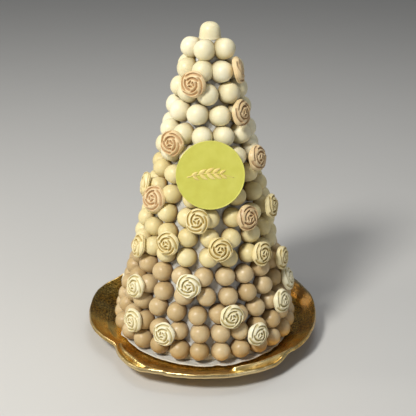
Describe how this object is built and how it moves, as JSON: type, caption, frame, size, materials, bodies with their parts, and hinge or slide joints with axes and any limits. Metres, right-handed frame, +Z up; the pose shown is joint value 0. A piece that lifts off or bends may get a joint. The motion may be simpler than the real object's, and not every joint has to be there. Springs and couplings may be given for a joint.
{
  "type": "chocolate pyramid",
  "caption": "Conical tower of moulded chocolate domes in rings, with chocolate roses and a round plaque, standing in a four-petalled footed metal dish.",
  "frame": {"origin": "on the table, on the tower's axis, which is within 3 mm of the middle of the dish", "axes": "+Z up, -Y towards the front with the plaque, +X to the right of someone facing the front"},
  "size_m": [0.317, 0.325, 0.4343],
  "materials": {
    "aged_brass": "antique gold patina, brushed, worn bright on the lip",
    "white_paper": "crumpled matt paper",
    "milk_chocolate": "satin",
    "cream_chocolate": "satin",
    "ivory_chocolate": "satin",
    "milk_rose_chocolate": "satin",
    "cream_rose_chocolate": "satin",
    "ivory_rose_chocolate": "satin",
    "lime_chocolate": "smooth satin",
    "gold_relief": "satin gold lustre"
  },
  "bodies": {
    "root": {"dish": "aged_brass", "dish_foot": "aged_brass", "paper_board": "white_paper", "paper_cone": "white_paper", "domes_milk": "milk_chocolate", "domes_cream": "cream_chocolate", "domes_ivory": "ivory_chocolate", "rose_milk_01": "milk_rose_chocolate", "rose_milk_02": "milk_rose_chocolate", "rose_milk_03": "milk_rose_chocolate", "rose_milk_04": "milk_rose_chocolate", "rose_milk_05": "milk_rose_chocolate", "rose_milk_06": "milk_rose_chocolate", "rose_milk_07": "milk_rose_chocolate", "rose_milk_08": "milk_rose_chocolate", "rose_milk_09": "milk_rose_chocolate", "rose_milk_10": "milk_rose_chocolate", "rose_milk_11": "milk_rose_chocolate", "rose_milk_12": "milk_rose_chocolate", "rose_milk_13": "milk_rose_chocolate", "rose_milk_14": "milk_rose_chocolate", "rose_cream_01": "cream_rose_chocolate", "rose_cream_02": "cream_rose_chocolate", "rose_cream_03": "cream_rose_chocolate", "rose_cream_04": "cream_rose_chocolate", "rose_cream_05": "cream_rose_chocolate", "rose_cream_06": "cream_rose_chocolate", "rose_cream_07": "cream_rose_chocolate", "rose_cream_08": "cream_rose_chocolate", "rose_cream_09": "cream_rose_chocolate", "rose_cream_10": "cream_rose_chocolate", "rose_cream_11": "cream_rose_chocolate", "rose_cream_12": "cream_rose_chocolate", "rose_cream_13": "cream_rose_chocolate", "rose_cream_14": "cream_rose_chocolate", "rose_cream_15": "cream_rose_chocolate", "rose_ivory_01": "ivory_rose_chocolate", "rose_ivory_02": "ivory_rose_chocolate", "rose_ivory_03": "ivory_rose_chocolate", "rose_ivory_04": "ivory_rose_chocolate", "rose_ivory_05": "ivory_rose_chocolate", "rose_ivory_06": "ivory_rose_chocolate", "rose_ivory_07": "ivory_rose_chocolate", "rose_ivory_08": "ivory_rose_chocolate", "rose_ivory_09": "ivory_rose_chocolate", "rose_ivory_10": "ivory_rose_chocolate", "rose_ivory_11": "ivory_rose_chocolate", "rose_ivory_12": "ivory_rose_chocolate", "rose_ivory_13": "ivory_rose_chocolate", "rose_ivory_14": "ivory_rose_chocolate", "rose_ivory_15": "ivory_rose_chocolate", "rose_ivory_16": "ivory_rose_chocolate", "tip_chocolate": "ivory_chocolate", "plaque": "lime_chocolate", "plaque_spray": "gold_relief"}
  },
  "joints": []
}
